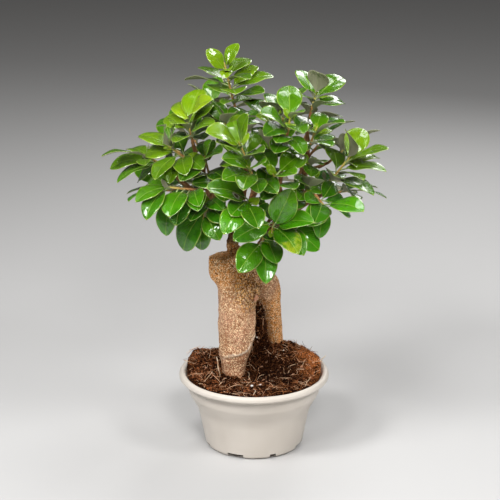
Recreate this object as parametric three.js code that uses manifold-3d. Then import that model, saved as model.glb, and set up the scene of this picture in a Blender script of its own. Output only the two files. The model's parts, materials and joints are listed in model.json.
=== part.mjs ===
// A ficus ginseng bonsai in its plastic pot, in millimetres, +Z up.
// The pot's resting face lies on z = 0, its axis is the Z axis, and the plant's front faces -Y.
import * as THREE from "three";
import { mergeVertices } from "three/addons/utils/BufferGeometryUtils.js";
import Module from "manifold-3d";

const wasm = await Module();
wasm.setup();

// Driving dimensions.
const POT_HEIGHT = 77;
const RIM_RADIUS = 75;
const LIP_HEIGHT = 7;
const FOOT_RADIUS = 45.5;
const WALL = 1.5;
const FLOOR = 2;
const DRAIN_HEIGHT = 5;
const DRAIN_WIDE = 17;
const DRAIN_NARROW = 6.5;
const GAP = 0.35;
const LEAF_THICKNESS = 0.75;
const LEAF_WIDTH_SHARE = 0.52;
const LEAF_ARCH_SHARE = 0.09;
const LEAF_FOLD = 0.2;
const FRONT_LEAN = 0.3;
const STEM_RADIUS = 1.5;
const TWIG_RADIUS = 1.7;

// A seeded generator, so that every build of the plant is the same.
function seeded(seed) {
  let state = seed;
  return () => {
    state = (state * 1664525 + 1013904223) % 4294967296;
    return state / 4294967296;
  };
}

const degrees = (angle) => (angle * Math.PI) / 180;

// A direction from a heading in plan and a rise above the horizontal, in degrees.
function direction(heading, rise) {
  const flat = Math.cos(degrees(rise));
  return new THREE.Vector3(
    flat * Math.cos(degrees(heading)),
    flat * Math.sin(degrees(heading)),
    Math.sin(degrees(rise)),
  );
}

// The closed solid of a geometry, with faces of no area left out.
function solid(geometry) {
  const bare = geometry.clone();
  bare.deleteAttribute("normal");
  bare.deleteAttribute("uv");
  const merged = mergeVertices(bare, 1e-4);
  const corners = merged.index.array;
  const kept = [];
  for (let i = 0; i < corners.length; i += 3) {
    const [a, b, c] = [corners[i], corners[i + 1], corners[i + 2]];
    if (a !== b && b !== c && c !== a) kept.push(a, b, c);
  }
  return new wasm.Manifold(
    new wasm.Mesh({
      numProp: 3,
      vertProperties: merged.attributes.position.array,
      triVerts: new Uint32Array(kept),
    }),
  );
}

// The largest body of a solid, without the loose scraps and sealed hollows that fusing can leave.
function wholeBody(joined) {
  const bodies = joined.decompose();
  bodies.sort((a, b) => b.volume() - a.volume());
  return bodies[0];
}

function meshOf(name, body, colour, roughness) {
  const made = body.getMesh();
  const geometry = new THREE.BufferGeometry();
  geometry.setAttribute("position", new THREE.BufferAttribute(made.vertProperties, 3));
  geometry.setIndex(new THREE.BufferAttribute(made.triVerts, 1));
  geometry.computeVertexNormals();
  const material = new THREE.MeshStandardMaterial({ color: colour, roughness, metalness: 0 });
  const mesh = new THREE.Mesh(geometry, material);
  mesh.name = name;
  return mesh;
}

// A solid of turned rings about the Z axis, from a profile of [radius, height] points.
function turned(profile, segments) {
  const points = profile.map(([r, z]) => new THREE.Vector2(r, z));
  const lathe = new THREE.LatheGeometry(points, segments);
  lathe.rotateX(Math.PI / 2);
  return lathe;
}

// A tapering round limb along a smooth curve through the given points.
function limb(points, startRadius, endRadius, sides, steps) {
  const path = new THREE.CatmullRomCurve3(points);
  const frames = path.computeFrenetFrames(steps, false);
  const tube = new THREE.CylinderGeometry(1, 1, 1, sides, steps);
  const place = tube.attributes.position;
  for (let i = 0; i < place.count; i++) {
    const t = place.getY(i) + 0.5;
    const step = Math.round(t * steps);
    const radius = startRadius + (endRadius - startRadius) * t;
    const at = path.getPointAt(Math.min(1, Math.max(0, t)));
    at.addScaledVector(frames.normals[step], place.getX(i) * radius);
    at.addScaledVector(frames.binormals[step], -place.getZ(i) * radius);
    place.setXYZ(i, at.x, at.y, at.z);
  }
  return tube;
}

// An upright swelling root from level rings: height, centre x and y, half widths, tilt of the ring.
function rootLeg(rings, sides, grow, lump) {
  const column = new THREE.CylinderGeometry(1, 1, 1, sides, rings.length - 1);
  const place = column.attributes.position;
  for (let i = 0; i < place.count; i++) {
    const level = Math.round((place.getY(i) + 0.5) * (rings.length - 1));
    const [z, cx, cy, rx, ry, tilt] = rings[level];
    const x = place.getX(i);
    const y = -place.getZ(i);
    const around = Math.atan2(y, x);
    const swell = 1 + lump * Math.sin(3 * around + z / 21) + lump * 0.6 * Math.sin(5 * around - z / 13);
    const px = x * (rx * swell + grow);
    const py = y * (ry * swell + grow);
    place.setXYZ(i, cx + px, cy + py, z + tilt * px - (level === 0 ? grow : 0));
  }
  return column;
}

// Pot: a lip over a short collar, a shoulder that turns in, and a plain cone down to a rounded foot.
const potOutside = [
  [0, 0],
  [FOOT_RADIUS, 0],
  [48.9, 2.2],
  [55.4, 36],
  [58, 43],
  [65.3, 56],
  [67.6, POT_HEIGHT - LIP_HEIGHT - 0.6],
  [73.4, POT_HEIGHT - LIP_HEIGHT],
  [RIM_RADIUS, POT_HEIGHT - LIP_HEIGHT + 1.8],
  [RIM_RADIUS - 0.6, POT_HEIGHT - 1.8],
  [72.2, POT_HEIGHT],
  [68.8, POT_HEIGHT - 1.6],
];
const potInside = [
  [66.2, 70],
  [65.3 - WALL, 57],
  [58 - WALL, 44],
  [55.4 - WALL, 37],
  [48.9 - WALL, FLOOR],
  [0, FLOOR],
];
let pot = solid(turned([...potOutside, ...potInside], 32));

// Drain slots through the foot: wide and narrow ones in turn, one every eighth of a turn.
for (let quarter = 0; quarter < 4; quarter++) {
  for (const [offset, width] of [[-22.5, DRAIN_WIDE], [22.5, DRAIN_NARROW]]) {
    const slot = new THREE.BoxGeometry(12, width, DRAIN_HEIGHT + 2);
    slot.translate(44 + 6, 0, DRAIN_HEIGHT / 2 - 1);
    slot.rotateZ(degrees(-90 + offset + 90 * quarter));
    pot = pot.subtract(solid(slot));
  }
}

// Two swollen root legs that grow together into the cut head of the trunk.
const frontLeg = [
  [44, -20, -8, 7, 7, 0],
  [60, -20, -8, 10, 9.5, 0],
  [77, -20.5, -8, 11.6, 10.8, 0],
  [88, -20, -7.6, 13.4, 12, 0],
  [97, -18.5, -7.2, 15.6, 13.6, 0.2],
  [101, -17.8, -7, 16.6, 14.4, 0.2],
  [113, -17.2, -6.6, 18, 15.2, 0.05],
  [128, -17, -6, 19, 16, 0],
  [146, -17, -5, 18.6, 17, 0],
  [160, -16.8, -3, 19.6, 18, 0],
  [168, -17.8, -1, 20.4, 18.6, 0],
  [173, -20.4, 0, 22.6, 19.2, 0],
  [183, -21.6, 0.5, 23, 19, 0.03],
  [195, -22, 0, 23, 17, 0.08],
  [200.5, -21.8, -1, 22.4, 14.5, 0.14],
];
const rearLeg = [
  [60, 24.5, 42, 6, 6, 0],
  [80, 23.5, 41, 8, 8, 0],
  [96, 21.8, 38, 8.8, 9, 0],
  [110, 20, 34, 8.6, 9, 0],
  [124, 18.6, 30, 9, 10, 0],
  [140, 14.6, 24, 12, 12, 0],
  [155, 10, 18, 16.4, 15.6, 0],
  [167, 5, 12, 18.6, 18, 0],
  [179, -2, 8, 20, 18, 0],
  [189, -6, 6, 17, 15.6, 0],
  [196, -8, 5, 12, 11.5, 0],
];
const legs = [
  [frontLeg, 16, 0.03],
  [rearLeg, 13, 0.035],
];
const trunkParts = legs.map(([rings, sides, lump]) => solid(rootLeg(rings, sides, 0, lump)));

// Knobs of rough bark where the legs join and where the twigs were grafted on.
const knobs = [
  [-3, -9, 161, 9, 7, 13],
  [-18, 1, 199, 9, 8, 7],
];
for (const [x, y, z, rx, ry, rz] of knobs) {
  const knob = new THREE.IcosahedronGeometry(1, 1);
  knob.scale(rx, ry, rz);
  knob.translate(x, y, z);
  trunkParts.push(solid(knob));
}

// Main limbs: points, then the radius at the foot and at the end.
const limbs = [
  [[[-20, 2, 192], [-21, 3, 212], [-15, 6, 240], [-10, 8, 270], [-13, 4, 300], [-16, 0, 322]], 6.2, 2.1],
  [[[0, 8, 180], [8, 9, 205], [22, 5, 228], [40, -1, 252], [49, -4, 282], [51, -5, 306]], 6, 2.1],
  [[[22, 5, 228], [38, -3, 243], [54, -8, 254]], 4.6, 2.1],
  [[[-18, 4, 222], [-34, 7, 240], [-54, 7, 256], [-70, 6, 270]], 5, 2.1],
  [[[-32, 7, 238], [-42, -8, 266], [-52, -20, 294]], 4, 2],
  [[[-18, 2, 212], [-14, -20, 234], [-8, -40, 252], [-3, -54, 268]], 4.6, 2.1],
  [[[20, 5, 226], [24, -18, 240], [23, -38, 260]], 4.2, 2],
  [[[-15, 6, 234], [-12, 28, 254], [-8, 52, 274]], 4.6, 2],
  [[[32, 2, 240], [40, 26, 256], [48, 46, 272]], 4.2, 2],
  [[[-34, 7, 240], [-44, 28, 254], [-56, 46, 264]], 3.8, 1.9],
];
const twigStarts = [];
for (const [route, foot, end] of limbs) {
  const points = route.map((p) => new THREE.Vector3(...p));
  trunkParts.push(solid(limb(points, foot, end, 6, points.length + 1)));
  const path = new THREE.CatmullRomCurve3(points);
  for (let k = 4; k <= 16; k++) {
    const at = path.getPointAt(k / 16);
    twigStarts.push({ at, along: path.getTangentAt(k / 16) });
  }
}

// Leafy shoots of the front: foot, heading and rise of the stem in degrees, its length.
// Each leaf has its place along the stem, its heading and rise, its length, and, where its face is
// turned further to the front than its neighbours', how far. The fill leaves close the gaps behind
// the others, and go where those leave room.
const frontShoots = {
  crown: {
    at: [-17, -2, 340],
    stem: [205, 75, 42],
    leaves: [
      [0.2, 60, -5, 44], [0.3, 120, 10, 44], [0.4, 275, 15, 42], [0.5, 25, 15, 46], [0.6, 160, 5, 46, -0.4],
      [0.65, 145, 20, 38, -0.3], [0.7, 300, 15, 40], [0.8, 50, 25, 34], [0.9, 200, 50, 30, 1],
      [1, 40, 60, 28], [0.95, 270, -5, 22],
    ],
    fill: [[0.35, 320, 15, 40], [0.5, 45, 30, 40], [0.15, 240, 5, 36], [0.1, 295, -5, 36]],
  },
  upper_left: {
    at: [-58, -30, 319],
    stem: [230, 70, 17],
    leaves: [
      [0.1, 250, 10, 40], [0.3, 310, 30, 38], [0.5, 130, 15, 38], [0.7, 55, 30, 40], [0.85, 105, 25, 42],
      [0.9, 70, 45, 42], [1, 315, 45, 42],
    ],
    fill: [[0.15, 300, 30, 34], [0.4, 240, 30, 36]],
  },
  left_mid: {
    at: [-62, -25, 299],
    stem: [200, 35, 19],
    leaves: [
      [0.1, 295, 0, 36], [0.3, 275, -15, 38], [0.5, 235, -25, 42], [0.6, 150, -5, 38],
      [0.8, 145, 15, 44, -0.4], [0.9, 295, 45, 36], [1, 240, 50, 30],
    ],
    fill: [[0.2, 110, 30, 36], [0.4, 245, -30, 34]],
  },
  far_left: {
    at: [-83, 5, 283],
    stem: [180, 30, 20],
    leaves: [
      [0.2, 145, -30, 40], [0.4, 200, -15, 46], [0.6, 180, -5, 46], [0.9, 200, 10, 50, 0],
      [1, 125, 5, 36, -0.3], [0.8, 260, 20, 36],
    ],
  },
  left_low: {
    at: [-49, -45, 275],
    stem: [190, 5, 32],
    leaves: [
      [0.7, 215, -70, 46], [1, 235, -30, 42], [0.5, 250, -20, 42], [0.9, 205, -10, 38], [0.8, 135, 5, 36],
      [0.1, 270, -15, 36], [0.25, 125, -45, 30],
    ],
    fill: [[0.35, 245, -40, 40], [0.2, 265, -20, 38]],
  },
  left_hang: {
    at: [-40, -40, 268],
    stem: [235, -55, 18],
    leaves: [[1, 295, -30, 36, 0.8], [0.5, 180, -60, 52], [0.75, 175, -80, 42], [0.2, 290, 0, 34]],
    fill: [[0.3, 240, -10, 36], [0.6, 300, -10, 36]],
  },
  centre: {
    at: [-4, -72, 302],
    stem: [230, 60, 26],
    leaves: [
      [0.3, 295, 30, 38], [0.5, 75, 25, 38], [0.6, 230, 30, 42], [0.8, 110, 40, 36], [0.9, 215, 30, 46],
      [1, 285, 60, 40],
    ],
    fill: [[0.2, 125, -5, 38], [0.4, 115, 20, 36]],
  },
  centre_low: {
    at: [3, -70, 288],
    stem: [240, 45, 22],
    leaves: [
      [0.5, 230, 10, 42], [0.7, 260, -15, 42], [0.9, 225, 30, 38], [0.85, 290, 30, 34], [0.3, 275, 20, 40],
      [0.1, 300, 0, 36],
    ],
  },
  centre_right: {
    at: [24, -60, 281],
    stem: [250, 40, 22],
    leaves: [
      [0.9, 300, 20, 38], [1, 55, 20, 44], [0.8, 115, 30, 42],
      [0.3, 285, 10, 38], [0.5, 235, 20, 34],
    ],
    fill: [[0.6, 85, 30, 40], [0.2, 250, -20, 34]],
  },
  right_up: {
    at: [51, -5, 331],
    stem: [0, 75, 24],
    leaves: [
      [0.2, 250, -5, 34], [0.4, 305, 25, 36], [0.6, 40, 0, 42], [0.7, 245, 25, 38], [0.8, 45, 25, 46],
      [0.9, 110, 30, 44], [1, 275, 50, 40],
    ],
  },
  right_in: {
    at: [29, -50, 322],
    stem: [290, 65, 24],
    leaves: [
      [0.2, 255, 10, 38], [0.5, 225, 35, 42], [0.6, 235, 10, 38], [0.7, 285, 5, 34], [0.9, 90, 40, 44],
      [1, 295, 30, 30],
    ],
    fill: [[0.3, 290, -15, 34], [0.1, 245, -5, 34]],
  },
  right_mid: {
    at: [50, -35, 311],
    stem: [320, 65, 19],
    leaves: [
      [0.2, 300, 15, 40], [0.5, 245, 0, 38], [0.7, 315, 30, 44],
      [0.9, 75, 25, 34], [1, 250, 25, 34],
    ],
    fill: [[0.4, 55, 5, 36]],
  },
  far_right: {
    at: [65, -10, 265],
    stem: [0, 50, 36],
    leaves: [
      [0.1, 240, 10, 34], [0.2, 55, -45, 40], [0.35, 325, -5, 48], [0.5, 305, 10, 44], [0.55, 95, 25, 44],
      [0.7, 340, 5, 46], [0.8, 30, 5, 46, -0.2], [0.9, 335, 25, 48], [0.95, 50, 45, 40, -0.2],
      [1, 270, 60, 42],
    ],
    fill: [[0.3, 275, 20, 38]],
  },
  right_low: {
    at: [58, -40, 268],
    stem: [310, -35, 16],
    leaves: [
      [0.2, 250, 10, 34], [0.5, 65, 20, 34], [0.8, 320, 5, 46],
      [0.9, 245, -10, 40], [0.4, 290, -35, 44],
    ],
    fill: [[0.35, 40, -25, 46], [0.6, 260, -15, 40]],
  },
  low_centre: {
    at: [-2, -62, 274],
    stem: [255, -15, 19],
    leaves: [[0.2, 70, -5, 34], [0.5, 215, 25, 50], [0.8, 240, -20, 46], [1, 285, -20, 40]],
    fill: [[0.4, 245, -5, 40]],
  },
  low_right: {
    at: [20, -48, 251],
    stem: [260, -25, 20],
    leaves: [
      [1, 315, 60, 48, 1.2], [0.5, 215, -10, 46], [0.7, 320, 15, 48], [0.85, 300, -15, 46],
      [0.4, 350, -30, 50], [0.2, 245, 20, 34],
    ],
    fill: [[0.6, 305, -25, 46], [0.3, 60, -20, 44]],
  },
  lowest: {
    at: [11, -38, 238],
    stem: [250, -55, 18],
    leaves: [[0.4, 295, 5, 34], [0.6, 290, -25, 38], [0.8, 275, -45, 46], [1, 240, -20, 46]],
  },
  inner_left: {
    at: [-42, -28, 283],
    stem: [255, 55, 22],
    leaves: [
      [0.2, 230, 5, 34], [0.4, 300, 0, 32], [0.6, 230, 25, 38], [0.8, 110, 25, 38], [0.9, 290, 35, 38],
      [1, 275, 45, 30],
    ],
  },
  inner_top: {
    at: [-25, -20, 317],
    stem: [260, 60, 20],
    leaves: [
      [0.3, 240, 15, 34], [0.5, 290, 5, 34], [0.6, 125, 15, 38], [0.8, 285, 35, 36], [0.9, 60, 10, 36],
      [1, 230, 50, 30],
    ],
    fill: [[0.2, 275, -10, 34], [0.7, 120, 45, 36]],
  },
  inner_right: {
    at: [49, -12, 278],
    stem: [290, 55, 19],
    leaves: [
      [0.3, 255, -10, 34], [0.5, 235, 30, 38], [0.7, 295, 25, 36],
      [0.9, 95, 25, 36], [1, 270, -5, 32],
    ],
  },
  inner_low_left: {
    at: [-46, -20, 254],
    stem: [235, 25, 18],
    leaves: [],
    fill: [
      [0.3, 245, 0, 38], [0.5, 290, -20, 38], [0.7, 245, 15, 38],
      [0.9, 275, -15, 38], [1, 270, 40, 34],
    ],
  },
  inner_low_right: {
    at: [43, -30, 261],
    stem: [290, 40, 20],
    leaves: [],
    fill: [
      [0.3, 250, 0, 36], [0.5, 305, 10, 38], [0.7, 280, -15, 38],
      [0.9, 250, 30, 34], [1, 290, 35, 34],
    ],
  },
};

// Shoots of the sides and the back stand on a dome: foot, then heading and rise of the stem.
const backShoots = {
  back_left_low: [[-62, 50, 246], 150, 10],
  back_low: [[-8, 68, 246], 92, 5],
  back_right_low: [[54, 52, 248], 42, 8],
  left_under: [[-76, 24, 256], 170, -5],
  right_under: [[76, 22, 254], 14, 0],
  back_left: [[-68, 48, 282], 143, 32],
  back_mid: [[-8, 74, 286], 92, 35],
  back_right: [[56, 56, 284], 45, 32],
  right_back: [[74, 28, 284], 22, 35],
  left_back: [[-52, 30, 296], 150, 48],
  back_up_left: [[-34, 42, 312], 118, 55],
  back_up_right: [[24, 48, 308], 62, 50],
  right_up_back: [[50, 30, 308], 50, 55],
  top_right: [[10, 0, 318], 300, 50],
  inner_mid: [[-19, -30, 266], 250, 40],
  inner_deep: [[12, -28, 292], 285, 50],
};
const BACK_STEM = 20;
const BACK_LEAVES = 6;

const random = seeded(20611);
const shoots = Object.entries(frontShoots).map(([name, shoot]) => ({ name, lean: FRONT_LEAN, ...shoot }));
for (const [name, [at, heading, rise]] of Object.entries(backShoots)) {
  const leaves = [];
  for (let k = 0; k < BACK_LEAVES; k++) {
    const along = 0.15 + (0.85 * k) / (BACK_LEAVES - 1);
    const turn = heading + 137.5 * k + 20 * (random() - 0.5);
    const climb = rise * 0.35 + 8 + 30 * (along - 0.5) + 16 * (random() - 0.5);
    leaves.push([along, turn, climb, 47 - 8 * along + 6 * (random() - 0.5)]);
  }
  shoots.push({ name, lean: 0, at, stem: [heading, rise, BACK_STEM], leaves });
}

// The stem of each shoot, and the brown twig that carries it from the nearest fitting limb.
for (const shoot of shoots) {
  const [heading, rise, length] = shoot.stem;
  const way = direction(heading, rise);
  const foot = new THREE.Vector3(...shoot.at);
  const tip = foot.clone().addScaledVector(way, length);
  tip.z += length * 0.05;
  const bend = foot.clone().addScaledVector(way, length * 0.5);
  shoot.path = new THREE.CatmullRomCurve3([foot, bend, tip]);
  shoot.stemSolid = solid(limb([foot, bend, tip], STEM_RADIUS, STEM_RADIUS * 0.8, 4, 2));
  const start = shoot.path.getTangentAt(0);
  let best = null;
  for (const from of twigStarts) {
    const reach = foot.clone().sub(from.at);
    const turn = 1 - reach.clone().normalize().dot(from.along);
    const cost = reach.length() * (1 + 0.5 * turn) + (reach.z < -5 ? 20 : 0);
    if (!best || cost < best.cost) best = { cost, from, reach: reach.length() };
  }
  const end = foot.clone().addScaledVector(start, -GAP);
  const out = best.from.at.clone().addScaledVector(best.from.along, best.reach * 0.3);
  const near = end.clone().addScaledVector(start, -best.reach * 0.3);
  const curve = new THREE.CubicBezierCurve3(best.from.at, out, near, end);
  const stations = [0, 0.35, 0.7].map((t) => curve.getPoint(t));
  stations.push(end.clone().addScaledVector(start, -3), end);
  trunkParts.push(solid(limb(stations, TWIG_RADIUS + 0.8, TWIG_RADIUS, 4, 3)));
}
const trunk = wholeBody(wasm.Manifold.union(trunkParts));

// Whether the line between two corners climbs along the leaf as it goes to the right.
function cornerRises(place, b, d) {
  return place.getX(b) < place.getX(d) === place.getY(b) < place.getY(d);
}

// One leaf along +Y from the origin: a slim stalk, then a blade that is widest past its middle.
// The stalk has no midline. The blade is arched and folded up a little along its midrib, and its tip
// runs out to an upright edge. Both faces are split into triangles alike, mirrored about the midrib.
const STALK_HALF = 0.75;
const STATIONS = [0, 0.17, 0.48, 0.78, 1];
const SHARES = [0, 0.05, 1, 0.88, 0];
function blade(length, grow, from) {
  const widest = (length * LEAF_WIDTH_SHARE) / 2;
  const rows = STATIONS.length - 1;
  const box = new THREE.BoxGeometry(1, 1, 1, 2, rows, 1);
  const place = box.attributes.position;
  for (let i = 0; i < place.count; i++) {
    const k = Math.round((place.getY(i) + 0.5) * rows);
    const t = k === 0 ? from : STATIONS[k];
    const half = k === rows ? 0 : Math.max(STALK_HALF, widest * SHARES[k]);
    const side = k < 2 && place.getX(i) === 0 ? 1 : place.getX(i) * 2;
    const arch = 4 * LEAF_ARCH_SHARE * length * t * (1 - t);
    const lift = arch + LEAF_FOLD * Math.abs(side) * (half - STALK_HALF * (k < rows));
    const deep = place.getZ(i) * (LEAF_THICKNESS + 2 * grow);
    place.setXYZ(i, side * (half + grow), t * length + (k === rows ? grow : 0), lift + deep);
  }
  const corners = box.index.array;
  for (const face of box.groups.slice(4)) {
    for (let q = face.start; q < face.start + face.count; q += 6) {
      const [a, b, d, c] = [corners[q], corners[q + 1], corners[q + 2], corners[q + 4]];
      const middle = (place.getX(a) + place.getX(b) + place.getX(c) + place.getX(d)) / 4;
      const rising = cornerRises(place, b, d);
      if (rising !== middle < 0) corners.set([a, b, c, a, c, d], q);
    }
  }
  return box;
}

// The leaf in its place: its face looks up and away from the middle of the crown, and on the front
// shoots it also leans to the front.
const CROWN_CENTRE = new THREE.Vector3(-6, 8, 250);
function leafMatrix(root, heading, rise, roll, lean) {
  const along = direction(heading, rise);
  const outward = root.clone().sub(CROWN_CENTRE).normalize();
  const face = new THREE.Vector3(0, -lean, 0.8).addScaledVector(outward, 0.55);
  face.addScaledVector(along, -face.dot(along)).normalize();
  face.applyAxisAngle(along, degrees(roll));
  const across = along.clone().cross(face);
  return new THREE.Matrix4().makeBasis(across, along, face).setPosition(root);
}

function boxOf(body) {
  const { min, max } = body.boundingBox();
  return new THREE.Box3(new THREE.Vector3(...min), new THREE.Vector3(...max));
}

// Small turns tried in order until a leaf stands clear of the wood and of every other leaf.
// A leaf that fits nowhere is left off its stem.
const tries = [[0, 0, 0, 1]];
for (const size of [6, 12, 20, 30]) {
  for (const [h, r, l] of [[1, 0, 0], [-1, 0, 0], [0, 1, 0], [0, -1, 0], [0, 0, 1], [0, 0, -1]]) {
    tries.push([h * size, r * size, l * size * 1.5, 1]);
  }
  for (const [h, r] of [[1, 1], [-1, 1], [1, -1], [-1, -1]]) {
    tries.push([h * size, r * size, 0, 1 - size / 120]);
  }
}
const placed = [{ owner: "trunk", body: trunk, box: boxOf(trunk) }];
for (const shoot of shoots) {
  placed.push({ owner: shoot.name, stem: true, body: shoot.stemSolid, box: boxOf(shoot.stemSolid) });
}
for (const shoot of shoots) shoot.blades = [];
for (const round of ["leaves", "fill"]) {
  for (const shoot of shoots) {
    for (const [along, heading, rise, length, lean = shoot.lean] of shoot[round] ?? []) {
      const root = shoot.path.getPointAt(Math.min(along, 0.96));
      tries.some(([h, r, l, scale]) => {
        const matrix = leafMatrix(root, heading + h, rise + r, l, lean);
        const wide = solid(blade(length * scale, 0.4, 0.04).applyMatrix4(matrix));
        const outer = solid(blade(length * scale, 0.4, 0.2).applyMatrix4(matrix));
        const box = boxOf(wide);
        const clash = placed.some((other) => {
          if (!other.box.intersectsBox(box)) return false;
          const test = other.owner === shoot.name ? outer : wide;
          return !test.intersect(other.body).isEmpty();
        });
        if (clash) return false;
        const body = solid(blade(length * scale, 0, 0).applyMatrix4(matrix));
        shoot.blades.push(body);
        placed.push({ owner: shoot.name, body, box: boxOf(body) });
        return true;
      });
    }
  }
}

// Soil: a peat mound that fills the pot, higher than the rim behind the trunk, with holes for the legs.
function soilHeight(x, y) {
  const back = 19 * Math.exp(-(((x - 20) / 42) ** 2) - ((y - 34) / 30) ** 2);
  const left = 13 * Math.exp(-(((x + 58) / 34) ** 2) - ((y - 20) / 27) ** 2);
  const right = 9 * Math.exp(-(((x - 70) / 20) ** 2) - ((y - 8) / 22) ** 2);
  const crumbs = 0.7 * Math.sin(x / 3.7 + 1.3 * Math.sin(y / 5)) * Math.cos(y / 4.1 + x / 9);
  return 74.2 + back + left + right + crumbs;
}
const soilRings = [66, 60, 50, 40, 28, 14];
const soilProfile = [
  [0, FLOOR + GAP],
  [48.9 - WALL - 0.4, FLOOR + GAP],
  [55.4 - WALL - 0.4, 37],
  [58 - WALL - 0.4, 44],
  [65.3 - WALL - 0.4, 57],
  [65.8, 70],
  ...soilRings.map((r) => [r, 200]),
  [0, 200],
];
const soilShape = turned(soilProfile, 32);
const soilPlace = soilShape.attributes.position;
for (let i = 0; i < soilPlace.count; i++) {
  if (soilPlace.getZ(i) < 100) continue;
  const x = soilPlace.getX(i);
  const y = soilPlace.getY(i);
  const edge = Math.hypot(x, y) > 65 ? 1.2 : 0;
  soilPlace.setZ(i, soilHeight(x, y) - edge);
}
// Old soil clings between the legs, in a core that narrows upwards.
const soilCore = [
  [66, 9, 18, 17, 15, 0],
  [88, 8.5, 18, 13.5, 13, 0],
  [102, 6, 17, 9, 10, 0],
  [116, 3.6, 16, 7, 8, 0],
  [130, 2.4, 14.5, 6.6, 6.5, 0],
  [143, -1, 13, 5, 6, 0],
];
let soil = solid(soilShape).add(solid(rootLeg(soilCore, 9, 0, 0.05)));
for (const [rings, sides, lump] of legs) {
  soil = soil.subtract(solid(rootLeg(rings, sides, GAP + 0.05, lump)));
}

const bonsai = new THREE.Group();
bonsai.name = "ficus_ginseng_bonsai";
bonsai.add(meshOf("pot", pot, "#e4ded2", 0.45));
bonsai.add(meshOf("soil", wholeBody(soil), "#3a2116", 0.95));
bonsai.add(meshOf("trunk", trunk, "#9c7a58", 0.8));
for (const shoot of shoots) {
  const leafy = wholeBody(wasm.Manifold.union([shoot.stemSolid, ...shoot.blades]));
  bonsai.add(meshOf("shoot_" + shoot.name, leafy, "#2f7a22", 0.35));
}

export default bonsai;
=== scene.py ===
"""A ficus ginseng bonsai in its plastic pot: the pot, the soil, the grown trunk, then its leafy shoots."""

import itertools
import json
import math

import bmesh
import bpy
import numpy as np
from mathutils import Matrix, Vector, noise

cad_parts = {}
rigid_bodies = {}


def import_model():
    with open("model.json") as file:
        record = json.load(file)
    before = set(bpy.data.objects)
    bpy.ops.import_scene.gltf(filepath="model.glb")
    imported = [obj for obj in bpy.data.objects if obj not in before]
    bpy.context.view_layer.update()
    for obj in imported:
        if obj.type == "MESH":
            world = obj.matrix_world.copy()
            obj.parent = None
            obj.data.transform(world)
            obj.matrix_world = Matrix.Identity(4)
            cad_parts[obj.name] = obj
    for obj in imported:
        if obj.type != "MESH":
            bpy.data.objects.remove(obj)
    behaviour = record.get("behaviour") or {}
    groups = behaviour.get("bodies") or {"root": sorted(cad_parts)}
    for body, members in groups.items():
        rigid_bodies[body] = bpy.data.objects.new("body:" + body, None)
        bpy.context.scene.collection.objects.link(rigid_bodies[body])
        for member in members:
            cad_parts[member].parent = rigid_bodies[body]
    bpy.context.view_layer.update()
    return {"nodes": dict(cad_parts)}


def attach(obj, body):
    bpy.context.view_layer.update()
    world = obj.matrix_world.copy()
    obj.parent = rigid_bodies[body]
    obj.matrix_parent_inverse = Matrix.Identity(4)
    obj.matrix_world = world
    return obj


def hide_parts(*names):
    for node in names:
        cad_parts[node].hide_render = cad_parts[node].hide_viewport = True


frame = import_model()

# The pot is injection moulded in cream polypropylene. A rolled lip stands over a short collar, a
# shoulder turns in to a plain cone, and drain slots are cut through the foot, wide and narrow in turn.
# MM is a millimetre in Blender's metres. Places written without it are in millimetres until a mesh is made.
MM = 0.001
POT_HEIGHT = 77 * MM
LIP_HEIGHT = 7 * MM
RIM_RADIUS = 75 * MM
FOOT_RADIUS = 45.5 * MM
HEEL_RADIUS = 48.9 * MM
CONE_RADIUS = 55.4 * MM
SHOULDER_RADIUS = 58 * MM
COLLAR_RADIUS = 65.3 * MM
POT_WALL = 1.5 * MM
POT_FLOOR = 2 * MM
POT_SIDES = 192
SHARP_EDGE = math.radians(38)
# Each slot: how far out and how high the box that cuts it reaches, and its width by its angle.
DRAIN_OUT = (44 * MM, 56 * MM)
DRAIN_UP = (-3 * MM, 5 * MM)
DRAIN_WIDTHS = {-22.5: 17 * MM, 22.5: 6.5 * MM}
CREAM = (0.64, 0.585, 0.52)
CREAM_SHADE = (0.58, 0.525, 0.46)
SOIL_STAIN = (0.2, 0.11, 0.06)


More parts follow.
